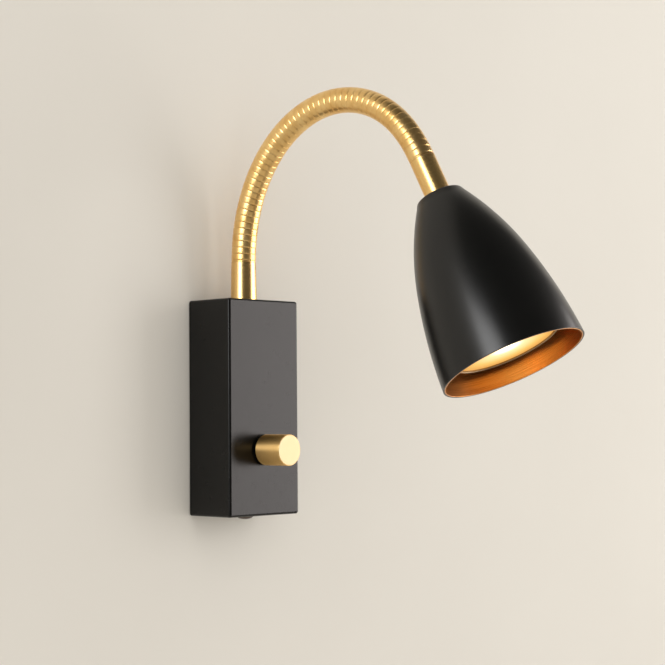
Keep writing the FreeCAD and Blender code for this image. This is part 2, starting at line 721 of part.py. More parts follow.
def make_neck_link(number, frame):
    """One length of neck: three ribs, a cone-shaped nose above and its seat below.

    Each nose stands in the next length's seat, and the two turn about the point on the middle
    line halfway between their rims, with the ribs' grooves as the room that they need.
    """
    pitch = size("flex_length") / RIB_COUNT
    length = pitch * RIBS_PER_LINK
    crest, bore, gap = size("neck_radius"), size("neck_bore"), size("neck_parting")
    groove = crest - size("rib_depth")
    rim = rim_radius()
    corners = [(rim, gap), (crest, pitch / 2)]
    for i in range(1, RIBS_PER_LINK):
        corners += [(groove, i * pitch), (crest, (i + 0.5) * pitch)]
    corners += [(rim, length - gap), (bore, length + size("nose_reach")), (bore, gap + rim - bore)]
    link = faceted(f"neck_link_{number:02d}", corners, NECK_SIDES)
    link.Placement = frame
    return link


# --- the head ----------------------------------------------------------------------------------


def make_sleeve():
    """The smooth brass sleeve that takes the neck's last nose and stands on the shade."""
    thread = size("nipple_radius") + size("fit_gap")
    seat = -size("nipple_grip") - size("slack_gap")
    start = size("neck_parting") - size("sleeve_length")
    rim, bore = rim_radius(), size("neck_bore")
    corners = [
        (rim, start),
        (size("ferrule_radius"), start),
        (size("ferrule_radius"), 0),
        (thread, 0),
        (thread, seat),
        (bore, seat),
        (bore, start + rim - bore),
    ]
    return faceted("head_ferrule", corners, NECK_SIDES)


def shade_side(inset):
    """(radius, depth) points down the shade's side, moved inwards by a part of its wall.

    Two arcs meet at the waist with a common tangent: the upper one has the given radius, and the
    lower one's follows from the waist's slope and the mouth.
    """
    top = Vector(size("shade_top"), 0, 0)
    waist = Vector(size("shade_waist"), size("waist_depth"), 0)
    mouth = Vector(size("shade_mouth"), size("shade_length"), 0)
    rise = waist - top
    across = Vector(-rise.y, rise.x, 0).normalize()
    reach = math.sqrt(size("shade_curve") ** 2 - (rise.Length / 2) ** 2)
    upper_centre = (top + waist) / 2 + across * reach
    inwards = (upper_centre - waist).normalize()
    chord = mouth - waist
    lower_centre = waist + inwards * (chord.Length ** 2 / (2 * chord.dot(inwards)))
    points = []
    for centre, start, end in ((upper_centre, top, waist), (lower_centre, waist, mouth)):
        arm = start - centre
        swing = math.degrees(arm.getAngle(end - centre))
        arm *= 1 - inset / arm.Length
        for step in range(CURVE_STEPS):
            spot = centre + Rotation(Vector(0, 0, 1), swing * step / CURVE_STEPS).multVec(arm)
            points.append((spot.x, spot.y))
    return points + [(mouth.x - inset, mouth.y)]


def make_shade():
    """A spun shell, open at its mouth, with a hole for the nipple in its top."""
    wall, bevel = size("shade_wall"), size("shade_bevel")
    hole = size("nipple_radius") + size("slack_gap")
    outside, inside = shade_side(0), shade_side(wall)
    (top, _), (second, depth) = outside[:2]
    slope = (second - top) / depth
    ceiling = (inside[0][0], wall)
    corners = [(hole, 0), (top - bevel, 0), (top + slope * bevel, bevel), *outside[1:]]
    corners += [*inside[:0:-1], ceiling, (hole, wall)]
    return faceted("shade", corners, SHADE_SIDES)


def make_holder_fixing():
    """The nipple through the shade's top, its nut inside, and the plate below the nut."""
    nipple = turned("head_nipple", ring("nipple_bore", "nipple_radius", "-nipple_grip", HOLDER_TOP))
    thread = "nipple_radius + fit_gap"
    plate = new_body("holder_plate")
    strap = box_outline("plate_width / 2", "-plate_length / 2", "plate_length / 2")
    add_pad(plate, "strap", "XY_Plane", strap, "plate_sheet", PLATE_TOP)
    holes = [("0", f"{sign}holder_screw_offset", "holder_screw + fit_gap") for sign in ("", "-")]
    cut_holes(plate, "plate_holes", "XY_Plane", [("0", "0", thread), *holes], flip=True)
    nut = hex_nut("head_nut", "nut_flats", "nut_height", thread)
    return [nipple, plate, nut]


def make_lampholder():
    """A stepped ceramic block: wires enter its crown, and the lamp's pins its lower face."""
    body = new_body("lampholder")
    across, step = "holder_length / 2", f"({HOLDER_TOP} + crown_height)"
    crown = box_outline("crown_width / 2", f"-{across}", across)
    add_pad(body, "crown", "XY_Plane", crown, "crown_height", HOLDER_TOP)
    block = box_outline("holder_width / 2", f"-{across}", across)
    add_pad(body, "holder_block", "XY_Plane", block, "holder_height - crown_height", step)
    chamber = [("0", "0", "(nipple_bore + slack_gap)")]
    cut_squares(body, "wire_chamber", "XY_Plane", chamber, "lead_chamber", HOLDER_TOP, flip=True)
    pins = [(f"{sign}pin_offset", "0", "pin_radius + slack_gap") for sign in ("", "-")]
    cut_holes(body, "pin_sockets", "XY_Plane", pins, "pin_length + slack_gap", HOLDER_FACE)
    places = [("0", f"{sign}holder_screw_offset") for sign in ("", "-")]
    shanks = [(*place, "holder_screw + fit_gap") for place in places]
    cut_holes(body, "screw_ways", "XY_Plane", shanks, level=HOLDER_FACE)
    heads = [(*place, "holder_screw_head + slack_gap") for place in places]
    cut_holes(body, "head_wells", "XY_Plane", heads, "holder_head_height", HOLDER_FACE)
    return body


def make_pair(node, pieces_of_pair):
    """Two like pieces in one node."""
    pair = doc.addObject("Part::Compound", node)
    pair.Links = pieces_of_pair
    return keep(pair, node)


def make_holder_screws():
    """Two long screws from the lampholder's lower face up into the plate."""
    screws = []
    for side, sign in (("front", "-"), ("back", "")):
        head = cylinder(f"{side}_head", "holder_screw_head", "holder_head_height")
        move(head, z=f"{HOLDER_FACE} - holder_head_height")
        shank = cylinder(f"{side}_shank", "holder_screw", f"{HOLDER_FACE} - {PLATE_TOP}")
        move(shank, z=PLATE_TOP)
        screw = doc.addObject("Part::Fuse", f"holder_screw_{side}")
        screw.Base = head
        screw.Tool = shank
        screws.append(move(screw, y=f"{sign}holder_screw_offset"))
    return make_pair("holder_screws", screws)


def make_reflector():
    """The lamp's cone-shaped body: a thin shell from its base to the rim that holds the lens."""
    wall = size("lamp_rim_wall")
    start = sum(size(word) for word in HOLDER_STACK) + size("lamp_base_height")
    face = start - size("lamp_base_height") + size("lamp_length")
    foot, mouth = size("lamp_base_radius"), size("lamp_radius")
    shelf = face - size("lens_set_in") - size("lens_sheet")
    corners = [
        (foot - wall, start),
        (foot, start),
        (mouth, face - size("lamp_rim_height")),
        (mouth, face),
        (mouth - wall, face),
        (mouth - wall, shelf),
        (mouth - 2 * wall, shelf),
        (mouth - 2 * wall, face - size("lamp_rim_height")),
    ]
    return faceted("lamp_reflector", corners, LAMP_SIDES)


def make_lamp():
    """A reflector lamp: base with two pins, cone-shaped body with a rim, and a lens in the rim."""
    base_end = f"{HOLDER_FACE} + lamp_base_height"
    lens_back = f"{LAMP_FACE} - lens_set_in - lens_sheet"
    inner = "(lamp_radius - lamp_rim_wall)"
    base = [
        ("0", HOLDER_FACE),
        ("lamp_base_radius", HOLDER_FACE),
        ("lamp_base_radius", base_end),
        ("0", base_end),
    ]
    lens = [
        ("0", lens_back),
        (f"{inner} - slack_gap", lens_back),
        (f"{inner} - slack_gap", f"{LAMP_FACE} - lens_set_in"),
        ("0", f"{LAMP_FACE} - lens_set_in"),
    ]
    pins = []
    for side, sign in (("left", "-"), ("right", "")):
        pin = cylinder(f"{side}_pin", "pin_radius", "pin_length")
        pins.append(move(pin, x=f"{sign}pin_offset", z=f"{HOLDER_FACE} - pin_length"))
    return [
        turned("lamp_base", base),
        make_reflector(),
        turned("lamp_lens", lens),
        make_pair("lamp_pins", pins),
    ]


def make_head(frame):
    """Everything that hangs on the neck's end, built on the shade's axis and then turned to it."""
    top = frame.multVec(Vector(0, 0, size("sleeve_length")))
    seat = Placement(top, frame.Rotation)
    shade_pieces = [make_sleeve(), make_shade(), make_lampholder(), make_holder_screws()]
    shade_pieces += make_holder_fixing() + make_lamp()
    wire_end = f"{HOLDER_TOP} + lead_chamber"
    shade_pieces.append(make_wire_pair("head_leads", "core_spacing / 2", "-nipple_grip", wire_end))
    for piece in shade_pieces:
        piece.Placement = seat
    nut = next(piece for piece in shade_pieces if piece.Label == "head_nut")
    nut.Placement = Placement(seat.multVec(Vector(0, 0, size("shade_wall"))), seat.Rotation)


# --- the whole lamp ----------------------------------------------------------------------------


def check_document():
    """Stop on any feature that failed, any cut that cut nothing and any piece with no solid."""
    for item in doc.Objects:
        if {"Invalid", "Error"} & set(item.State):
            raise RuntimeError(f"{item.Name} failed: {item.State}")
        if item.TypeId == "PartDesign::Pocket":
            before = item.BaseFeature.Shape.Volume
            if item.Shape.Volume > before - 1e-6:
                raise RuntimeError(f"{item.Name} cut nothing")
    for piece in pieces:
        if piece.Shape.isNull() or not piece.Shape.isValid() or not piece.Shape.Solids:
            raise RuntimeError(f"{piece.Label} has no valid solid")


def write_parts():
    os.makedirs("parts", exist_ok=True)
    for piece in pieces:
        piece.Shape.exportStep(f"parts/{piece.Label}.step")


make_wall_bracket()
make_cable_grommet()
make_housing_cover()
make_cover_screw()
make_earth_screw()
make_terminal_block()
make_block_screw()
make_box_wires()
make_dimmer()
make_circuit_board()
make_dimmer_shaft()
make_knob()
make_grub_screw()
make_neck_fixing()
frames = neck_frames()
for number, frame in enumerate(frames[:-1], 1):
    make_neck_link(number, frame)
make_head(frames[-1])
doc.recompute()
check_document()
write_parts()
print(len(pieces), "pieces written")
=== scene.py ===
# %% [markdown]
# # A bedside wall reading lamp
# The lamp is a flat black box on a wall with a brass dimmer knob, a ribbed brass neck that bends
# over, and a bell-shaped shade round a lit reflector lamp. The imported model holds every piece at
# its real size and place. This lesson dresses it: visible pieces are worked out again as fine
# surfaces of revolution and as a ribbed tube, and every surface gets a finish made of nodes.

import json
import math

import bmesh
import bpy
import numpy as np
from mathutils import Matrix, Vector


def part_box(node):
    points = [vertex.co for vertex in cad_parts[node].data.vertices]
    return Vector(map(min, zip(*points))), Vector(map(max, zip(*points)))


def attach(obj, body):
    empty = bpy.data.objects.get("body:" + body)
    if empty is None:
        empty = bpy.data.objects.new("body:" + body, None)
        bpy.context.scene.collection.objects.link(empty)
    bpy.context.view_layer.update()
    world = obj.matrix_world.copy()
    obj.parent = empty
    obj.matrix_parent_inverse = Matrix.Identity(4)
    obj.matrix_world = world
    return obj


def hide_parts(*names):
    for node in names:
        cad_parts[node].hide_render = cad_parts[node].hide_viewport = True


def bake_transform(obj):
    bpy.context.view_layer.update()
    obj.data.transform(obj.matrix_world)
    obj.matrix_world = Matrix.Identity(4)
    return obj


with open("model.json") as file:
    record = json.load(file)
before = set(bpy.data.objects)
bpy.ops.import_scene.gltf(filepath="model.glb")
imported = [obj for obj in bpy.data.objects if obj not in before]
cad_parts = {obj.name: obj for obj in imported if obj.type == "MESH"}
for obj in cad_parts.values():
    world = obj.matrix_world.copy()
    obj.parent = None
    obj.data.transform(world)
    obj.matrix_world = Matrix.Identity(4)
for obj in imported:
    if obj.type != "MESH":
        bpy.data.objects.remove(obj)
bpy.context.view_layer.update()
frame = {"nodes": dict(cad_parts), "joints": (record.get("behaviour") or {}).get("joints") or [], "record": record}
MM = 0.001

# %% [markdown]
# ## The camera
# The photograph was taken from the lamp's left and a little below it, with a long lens. A camera's
# three directions can be worked out from its azimuth, elevation and roll with cross products. That
# is shorter than chaining rotations, and the numbers keep their meaning.

# %% Camera
CAMERA_PLACE = np.array([-0.55307, -0.61534, -0.00412])
CAMERA_AZIMUTH, CAMERA_ELEVATION, CAMERA_ROLL = np.radians([-45.697, -2.865, -0.442])
CAMERA_LENS = 89.57   # mm, on a sensor 36 mm wide


def make_camera():
    """Forward comes from the two angles; right and up follow from it and are turned by the roll."""
    across, along = math.sin(CAMERA_AZIMUTH), math.cos(CAMERA_AZIMUTH)
    level = math.cos(CAMERA_ELEVATION)
    forward = np.array([-across * level, along * level, -math.sin(CAMERA_ELEVATION)])
    right = np.cross(forward, [0, 0, 1])
    right /= np.linalg.norm(right)
    up = np.cross(right, forward)
    cosine, sine = math.cos(CAMERA_ROLL), math.sin(CAMERA_ROLL)
    axes = np.column_stack([cosine * right + sine * up, cosine * up - sine * right, -forward])
    camera = bpy.data.objects.new("camera", bpy.data.cameras.new("camera"))
    bpy.context.scene.collection.objects.link(camera)
    camera.matrix_world = Matrix.Translation(CAMERA_PLACE) @ Matrix(axes.tolist()).to_4x4()
    camera.data.lens = CAMERA_LENS
    bpy.context.scene.camera = camera
    return camera


make_camera()

# %% [markdown]
# ## Surfaces from outlines
# Nearly everything on this lamp was turned or spun, so one helper makes most of its pieces: it
# carries an outline of (radius, height) points round an axis as one array. A second helper rounds
# the outline's corners, because the thin highlight on an edge is what makes metal look real.


# %% Outline helper
def unit(v):
    """A vector, or rows of vectors, at length 1."""
    return v / np.linalg.norm(v, axis=-1, keepdims=True)


def rounded(corners, steps=6):
    """Outline points from (radius, height, rounding) corners in mm.

    A corner with a rounding becomes an arc: its centre lies on the corner's bisector, and the arm
    from it swings from one side's tangent point to the other's by spherical interpolation.
    """
    spots = np.array(corners, float)
    share = np.linspace(0, 1, steps + 1)[:, None]
    points = []
    for before, spot, after in zip(np.roll(spots, 1, 0), spots, np.roll(spots, -1, 0)):
        corner, radius = spot[:2], spot[2]
        if radius == 0:
            points.append(corner[None])
            continue
        back, ahead = unit(before[:2] - corner), unit(after[:2] - corner)
        half = math.acos(np.clip(back @ ahead, -1, 1)) / 2
        centre = corner + unit(back + ahead) * radius / math.sin(half)
        reach = radius / math.tan(half)
        start, end = corner + back * reach - centre, corner + ahead * reach - centre
        swing = math.pi - 2 * half
        arms = np.sin((1 - share) * swing) * start + np.sin(share * swing) * end
        points.append(centre + arms / math.sin(swing))
    return np.concatenate(points)


# %% [markdown]
# ## Meshes from grids
# A turned piece, the neck and the box are all rows of points that run round something. So one
# helper joins any such grid into faces and gives it a UV map, and the finishes that follow a
# piece's own direction, such as brushing, read that map.

# %% Mesh helpers
SHARP = math.radians(40)   # edges that turn more than this stay sharp


def finish_mesh(name, points, faces, corner_uv):
    """A mesh object at the origin, with outward faces, a UV map and smooth shading."""
    mesh = bpy.data.meshes.new(name)
    mesh.from_pydata(points.tolist(), [], faces)
    layer = mesh.uv_layers.new(name="surface")
    flat = np.zeros((len(mesh.loops), 2), np.float32)
    flat[: len(corner_uv)] = corner_uv
    layer.data.foreach_set("uv", flat.ravel())
    work = bmesh.new()
    work.from_mesh(mesh)
    bmesh.ops.recalc_face_normals(work, faces=work.faces)
    work.to_mesh(mesh)
    work.free()
    mesh.shade_smooth()
    mesh.set_sharp_from_angle(angle=SHARP)
    piece = bpy.data.objects.new(name, mesh)
    bpy.context.scene.collection.objects.link(piece)
    return piece


def grid_piece(name, grid, closed):
    """A mesh from a (rows, columns, 3) grid whose columns run round and meet.

    A closed grid's last row joins its first. An open one gets a flat face on each end ring. The UV
    map's u runs round in turns, and its v is the length along the rows in centimetres.
    """
    rows, columns = grid.shape[:2]
    index = np.arange(rows * columns).reshape(rows, columns)
    nearer = index if closed else index[:-1]
    further = np.roll(index, -1, 0) if closed else index[1:]
    quads = np.stack(
        [nearer, np.roll(nearer, -1, 1), np.roll(further, -1, 1), further], -1
    ).reshape(-1, 4)
    step = np.linalg.norm(np.diff(grid[:, 0], axis=0, append=grid[:1, 0]), axis=1)
    length = np.concatenate([[0], np.cumsum(step)]) * 100
    v0, u0 = np.meshgrid(length[: len(nearer)], np.arange(columns) / columns, indexing="ij")
    v1 = np.broadcast_to(length[1: len(nearer) + 1, None], v0.shape)
    u1 = u0 + 1 / columns
    uv = np.stack([u0, v0, u1, v0, u1, v1, u0, v1], -1).reshape(-1, 2)
    faces = quads.tolist()
    if not closed:
        faces += [index[0].tolist(), index[-1].tolist()]
    return finish_mesh(name, grid.reshape(-1, 3), faces, uv)


def turned(name, outline, origin, axis, closed=True, columns=128):
    """A surface of revolution in metres from an outline in mm.

    point = origin + radius * (cos t * side + sin t * across) + height * axis
    """
    axis = unit(np.asarray(axis, float))
    side = unit(np.cross(axis, [1.0, 0.0, 0.0] if abs(axis[0]) < 0.9 else [0.0, 1.0, 0.0]))
    across = np.cross(axis, side)
    t = np.linspace(0, 2 * math.pi, columns, endpoint=False)
    spokes = np.cos(t)[:, None] * side + np.sin(t)[:, None] * across
    radius, height = outline[:, 0] * MM, outline[:, 1] * MM
    grid = np.asarray(origin) + radius[:, None, None] * spokes + height[:, None, None] * axis
    return grid_piece(name, grid, closed)


def dress(piece, body, nodes):
    """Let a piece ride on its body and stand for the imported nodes.

    Weighted normals keep a big flat face flat up to the small round edge beside it.
    """
    piece.modifiers.new("flat_faces", "WEIGHTED_NORMAL").keep_sharp = True
    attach(piece, body)
    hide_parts(*nodes)
    return piece


# %% [markdown]
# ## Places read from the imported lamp
# The neck turns at eighteen partings, one joint each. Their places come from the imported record, so
# the tube drawn here runs exactly where the model's links are. The head's own axis is the line from
# the last parting through the middle of the sleeve.

# %% Places
neck_joints = [j for j in frame["joints"] if j["name"].startswith("neck_")]
partings = np.array([j["pos_m"] for j in neck_joints])


def node_points(node):
    """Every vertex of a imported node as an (n, 3) array."""
    mesh = frame["nodes"][node].data
    flat = np.zeros(len(mesh.vertices) * 3)
    mesh.vertices.foreach_get("co", flat)
    return flat.reshape(-1, 3)


def middle(node):
    """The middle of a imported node's box."""
    low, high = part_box(node)
    return np.array((low + high) / 2)


head_axis = unit(node_points("head_ferrule").mean(0) - partings[-1])
shade_top = partings[-1] + head_axis * ((node_points("shade") - partings[-1]) @ head_axis).min()
box_low, box_high = (np.array(corner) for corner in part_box("housing_cover"))
foot = np.array([0, middle("base_ferrule")[1], box_high[2]])
OUT, UP = np.array([0.0, -1.0, 0.0]), np.array([0.0, 0.0, 1.0])
print("shade's top at", np.round(shade_top / MM, 2), "mm, along", np.round(head_axis, 4))

# %% [markdown]
# ## The ribbed neck
# The real neck is a wound spring with a second wire pressed between its turns, which gives nearly
# flat ribs with fine grooves. Its middle line is a chain of arcs, one round each parting, so the
# tube is smooth although the model's links are straight. Each piece runs from a groove on one link
# to the matching groove on the next.

# %% Neck
RIB_RADIUS, GROOVE_DEPTH, NECK_BORE = 6.05, 0.14, 3.6
RIBS_PER_LINK, ROWS_PER_RIB, NECK_COLUMNS = 3, 16, 72
NECK_PARTING = 0.9   # mm from the first and last partings to the smooth ferrules
link_length = np.linalg.norm(partings[1] - partings[0])
directions = np.vstack([UP, unit(np.diff(partings, axis=0)), head_axis])


def neck_line(s):
    """Place and tangent of the middle line at a distance s, in metres, from the first parting.

    Round the nearest parting the line is the arc that touches both links half a link away:
    place = start + r * (sin a * before + (1 - cos a) * inwards), with a growing with distance.
    """
    nearest = np.clip(np.round(s / link_length).astype(int), 0, len(partings) - 1)
    before, after = directions[nearest], directions[nearest + 1]
    turn = np.arccos(np.clip((before * after).sum(-1), -1, 1))
    inwards = unit(after - before * (before * after).sum(-1, keepdims=True))
    radius = link_length / 2 / np.tan(turn / 2)
    a = (s / link_length - nearest + 0.5) * turn
    start = partings[nearest] - before * link_length / 2
    sine, cosine = np.sin(a)[:, None], np.cos(a)[:, None]
    place = start + radius[:, None] * (sine * before + (1 - cosine) * inwards)
    return place, cosine * before + sine * inwards


def rib_radius(s):
    """Radius over the ribs: the groove's depth times x ** 6, where x is 1 in a groove's middle."""
    x = 2 * ((s / link_length * RIBS_PER_LINK) % 1) - 1
    return RIB_RADIUS - GROOVE_DEPTH * x ** 6


def neck_piece(number, brass):
    """One joint's stretch of the neck, with its bore, as one closed tube.

    It runs from a third of a link before its parting to two thirds of a link past it.
    """
    third = link_length / RIBS_PER_LINK
    s = number * link_length + np.linspace(-1, 2, 3 * ROWS_PER_RIB + 1) * third
    low, high = -NECK_PARTING * MM, (len(partings) - 1) * link_length + NECK_PARTING * MM
    s = np.unique(np.clip(s, low, high))
    place, tangent = neck_line(s)
    level = unit(np.cross(directions[0], directions[-1]))
    upright = np.cross(tangent, level)
    t = np.linspace(0, 2 * math.pi, NECK_COLUMNS, endpoint=False)
    spokes = np.cos(t)[:, None] * level + np.sin(t)[:, None] * upright[:, None]
    outside = place[:, None] + rib_radius(s)[:, None, None] * MM * spokes
    inside = (place[:, None] + NECK_BORE * MM * spokes)[::-ROWS_PER_RIB]
    piece = grid_piece(f"neck_{number:02d}", np.concatenate([outside, inside]), closed=True)
    piece.data.materials.append(brass)
    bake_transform(piece)
    if number:
        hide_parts(f"neck_link_{number:02d}")
    return piece


# %% [markdown]
# ## Node helpers
# Each finish starts from one Principled shader. What is even all over the piece is set on the
# shader's own sockets, and what varies comes through noise: stretched noise for brushing, fine
# noise for the grain of paint, and a broad, weak one so that no surface is one flat colour.


# %% Material helpers
class Finish:
    """A material with its Principled shader, and short ways to feed it."""

    def __init__(self, name, colour, roughness, metallic=0.0, **sockets):
        self.material = bpy.data.materials.new(name)
        self.material.use_nodes = True
        self.tree = self.material.node_tree
        self.shader = self.tree.nodes["Principled BSDF"]
        self.shader.inputs["Base Color"].default_value = (*colour, 1)
        self.shader.inputs["Roughness"].default_value = roughness
        self.shader.inputs["Metallic"].default_value = metallic
        for socket, value in sockets.items():
            self.shader.inputs[socket.replace("_", " ")].default_value = value

    def node(self, kind, **values):
        """A new node; values that name an input set it, and the others set properties."""
        node = self.tree.nodes.new(kind)
        for key, value in values.items():
            if key in node.inputs:
                node.inputs[key].default_value = value
            else:
                setattr(node, key, value)
        return node

    def join(self, source, target):
        """Feed one node's output to another's input."""
        self.tree.links.new(source, target)

    def noise(self, scale, stretch=(1, 1, 1), detail=3.0, coordinates="Object"):
        """Noise on the piece's own coordinates, stretched along its axes."""
        place = self.node("ShaderNodeTexCoord")
        mapping = self.node("ShaderNodeMapping", Scale=stretch)
        texture = self.node("ShaderNodeTexNoise", Scale=scale, Detail=detail)
        self.join(place.outputs[coordinates], mapping.inputs["Vector"])
        self.join(mapping.outputs["Vector"], texture.inputs["Vector"])
        return texture.outputs["Fac"]

    def spread(self, source, low, high):
        """Noise between 0.3 and 0.7 brought to the range from low to high."""
        ramp = self.node("ShaderNodeMapRange")
        for key, value in (("From Min", 0.3), ("From Max", 0.7), ("To Min", low), ("To Max", high)):
            ramp.inputs[key].default_value = value
        self.join(source, ramp.inputs["Value"])
        return ramp.outputs["Result"]

    def vary_colour(self, source, first, second):
        """Colour = first * (1 - noise) + second * noise."""
        mix = self.node("ShaderNodeMix", data_type="RGBA")
        for socket, colour in zip([s for s in mix.inputs if s.type == "RGBA"], (first, second)):
            socket.default_value = (*colour, 1)
        factor = next(s for s in mix.inputs if s.name == "Factor" and s.type == "VALUE")
        self.join(self.spread(source, 0, 1), factor)
        result = next(s for s in mix.outputs if s.type == "RGBA")
        self.join(result, self.shader.inputs["Base Color"])
        return self

    def vary_roughness(self, source, low, high):
        """Roughness runs from low to high with the noise."""
        self.join(self.spread(source, low, high), self.shader.inputs["Roughness"])
        return self

    def bump(self, source, strength, distance):
        """Tilt the surface's normals as if the noise were a height, in metres."""
        bump = self.node("ShaderNodeBump", Strength=strength, Distance=distance)
        self.join(source, bump.inputs["Height"])
        self.join(bump.outputs["Normal"], self.shader.inputs["Normal"])
        return self


# %% [markdown]
# ## Finishes that show
# The box and the shade are satin black paint, and the shade's coat mirrors a little more. The brass
# is brushed: lengthwise on the two ferrules, and round the knob. Its end face gets a paler, darker
# copy of the same brass, as painted shade that dims the bright reflection on it. The shade is
# copper-coloured lacquer inside.

# %% Paint and brass
BLACK, WARM_BLACK = (0.0032, 0.0031, 0.0027), (0.0048, 0.0044, 0.0038)
GOLD, DEEP_GOLD = (0.93, 0.65, 0.28), (0.82, 0.50, 0.17)
# painted shade: a paler, darker gold for the knob's end face, which dims the reflection on it
SHADED_PALE_GOLD, SHADED_DULL_GOLD = (0.60, 0.52, 0.33), (0.56, 0.47, 0.28)
COPPER, DEEP_COPPER = (0.90, 0.45, 0.14), (0.62, 0.25, 0.06)


def box_paint():
    """Nearly even black with a very fine grain."""
    finish = Finish("box_paint", BLACK, 0.26, Specular_IOR_Level=0.26)
    finish.vary_colour(finish.noise(60, detail=2), BLACK, WARM_BLACK)
    finish.vary_roughness(finish.noise(260), 0.25, 0.275)
    finish.bump(finish.noise(2600, detail=2), 0.012, 0.0001)
    return finish.material


def shade_paint():
    """The same black with a little more sheen, so that the highlight spreads down the shade."""
    finish = Finish("shade_paint", BLACK, 0.28, Specular_IOR_Level=0.45)
    finish.vary_colour(finish.noise(40, detail=2), BLACK, WARM_BLACK)
    finish.vary_roughness(finish.noise(300), 0.285, 0.305)
    finish.bump(finish.noise(3200, detail=2), 0.010, 0.0001)
    return finish.material


def brushed_brass(name, stretch, roughness, coordinates="UV", anisotropy=0.0, tones=(GOLD, DEEP_GOLD)):
    """Fine scratches are noise stretched about a hundredfold along the brushing.

    With an anisotropy the highlight spreads across scratches that run round the piece.
    """
    finish = Finish(name, tones[0], roughness, 1.0)
    finish.vary_colour(finish.noise(9, stretch, 4, coordinates), *tones)
    finish.vary_roughness(finish.noise(14, stretch, 4, coordinates), roughness - 0.06, roughness + 0.08)
    finish.bump(finish.noise(20, stretch, 4, coordinates), 0.12, 0.00005)
    if anisotropy:
        finish.shader.inputs["Anisotropic"].default_value = anisotropy
        finish.shader.inputs["Anisotropic Rotation"].default_value = 0.25
        round_way = finish.node("ShaderNodeTangent", direction_type="UV_MAP", uv_map="surface")
        finish.join(round_way.outputs["Tangent"], finish.shader.inputs["Tangent"])
    return finish.material


def neck_brass():
    """The wound wire is drawn, so its gloss is soft and even, with small stains in colour."""
    finish = Finish("neck_brass", GOLD, 0.32, 1.0)
    finish.vary_colour(finish.noise(160, detail=4), GOLD, DEEP_GOLD)
    finish.vary_roughness(finish.noise(1400), 0.28, 0.37)
    return finish.material


def copper_lacquer():
    """Spun round the axis, so its fine lines run round: noise stretched along u."""
    finish = Finish("copper_lacquer", COPPER, 0.28, 1.0)
    finish.vary_colour(finish.noise(8, (1, 6, 1), 4, "UV"), COPPER, DEEP_COPPER)
    finish.vary_roughness(finish.noise(10, (1, 10, 1), 4, "UV"), 0.24, 0.36)
    return finish.material


def bronze_cap():
    """Dark bronze paint over a metal screw head."""
    finish = Finish("cap_paint", (0.05, 0.028, 0.018), 0.35, 0.3)
    finish.vary_colour(finish.noise(300), (0.045, 0.024, 0.015), (0.07, 0.04, 0.025))
    finish.vary_roughness(finish.noise(900), 0.3, 0.42)
    return finish.material


# %% [markdown]
# ## The lit lamp
# The lamp's lens glows: white in its middle, where the light source sits, and yellow towards its
# rim. Emission with a colour ramp over the distance from the middle does that, and it also lights
# the copper round it.

# %% Lens
GLOW_STRENGTH = 1.0
GLOW_STOPS = (
    (0.0, (5.0, 4.4, 3.0)),
    (0.18, (2.3, 2.0, 1.25)),
    (0.36, (1.15, 0.86, 0.42)),
    (0.7, (0.92, 0.56, 0.14)),
    (1.0, (0.70, 0.33, 0.06)),
)


def lens_glow(centre, radius):
    """The distance from the lens's middle, over its radius, picks the colour of the glow."""
    finish = Finish("lens_glow", (0.16, 0.09, 0.03), 0.4)
    place = finish.node("ShaderNodeTexCoord")
    away = finish.node("ShaderNodeVectorMath", operation="DISTANCE")
    away.inputs[1].default_value = centre
    finish.join(place.outputs["Object"], away.inputs[0])
    share = finish.node("ShaderNodeMath", operation="DIVIDE")
    share.inputs[1].default_value = radius
    finish.join(away.outputs["Value"], share.inputs[0])
    ramp = finish.node("ShaderNodeValToRGB")
    while len(ramp.color_ramp.elements) < len(GLOW_STOPS):
        ramp.color_ramp.elements.new(0.5)
    for element, (position, colour) in zip(ramp.color_ramp.elements, GLOW_STOPS):
        element.position, element.color = position, (*colour, 1)
    finish.join(share.outputs["Value"], ramp.inputs["Fac"])
    finish.join(ramp.outputs["Color"], finish.shader.inputs["Emission Color"])
    finish.shader.inputs["Emission Strength"].default_value = GLOW_STRENGTH
    return finish.material


# %% [markdown]
# ## The box
# The box is bent from sheet, so its front and side edges are round. A ring that follows a rounded
# rectangle is carried from the inside of the front, down the inner walls, round the back rim and
# over the outer walls to the front again, so the shell is one closed surface with a true wall.

# %% Box shell
EDGE_ROUND, BOX_WALL = 1.3, 1.5
RIM_BEVEL, INNER_BEVEL, LEAST_CORNER, FRONT_RING = 0.15, 0.2, 0.12, 0.5
CORNER_STEPS, EDGE_STEPS = 8, 8


def rounded_rectangle(half_x, half_z, radius):
    """Points round a rectangle whose corners are quarter circles, as an (n, 2) array."""
    quarter = np.linspace(0, math.pi / 2, CORNER_STEPS + 1)
    loops = []
    for i, (sx, sz) in enumerate(((1, 1), (-1, 1), (-1, -1), (1, -1))):
        angle = quarter + i * math.pi / 2
        centre = np.array([sx * (half_x - radius), sz * (half_z - radius)])
        loops.append(centre + radius * np.column_stack([np.cos(angle), np.sin(angle)]))
    return np.concatenate(loops)


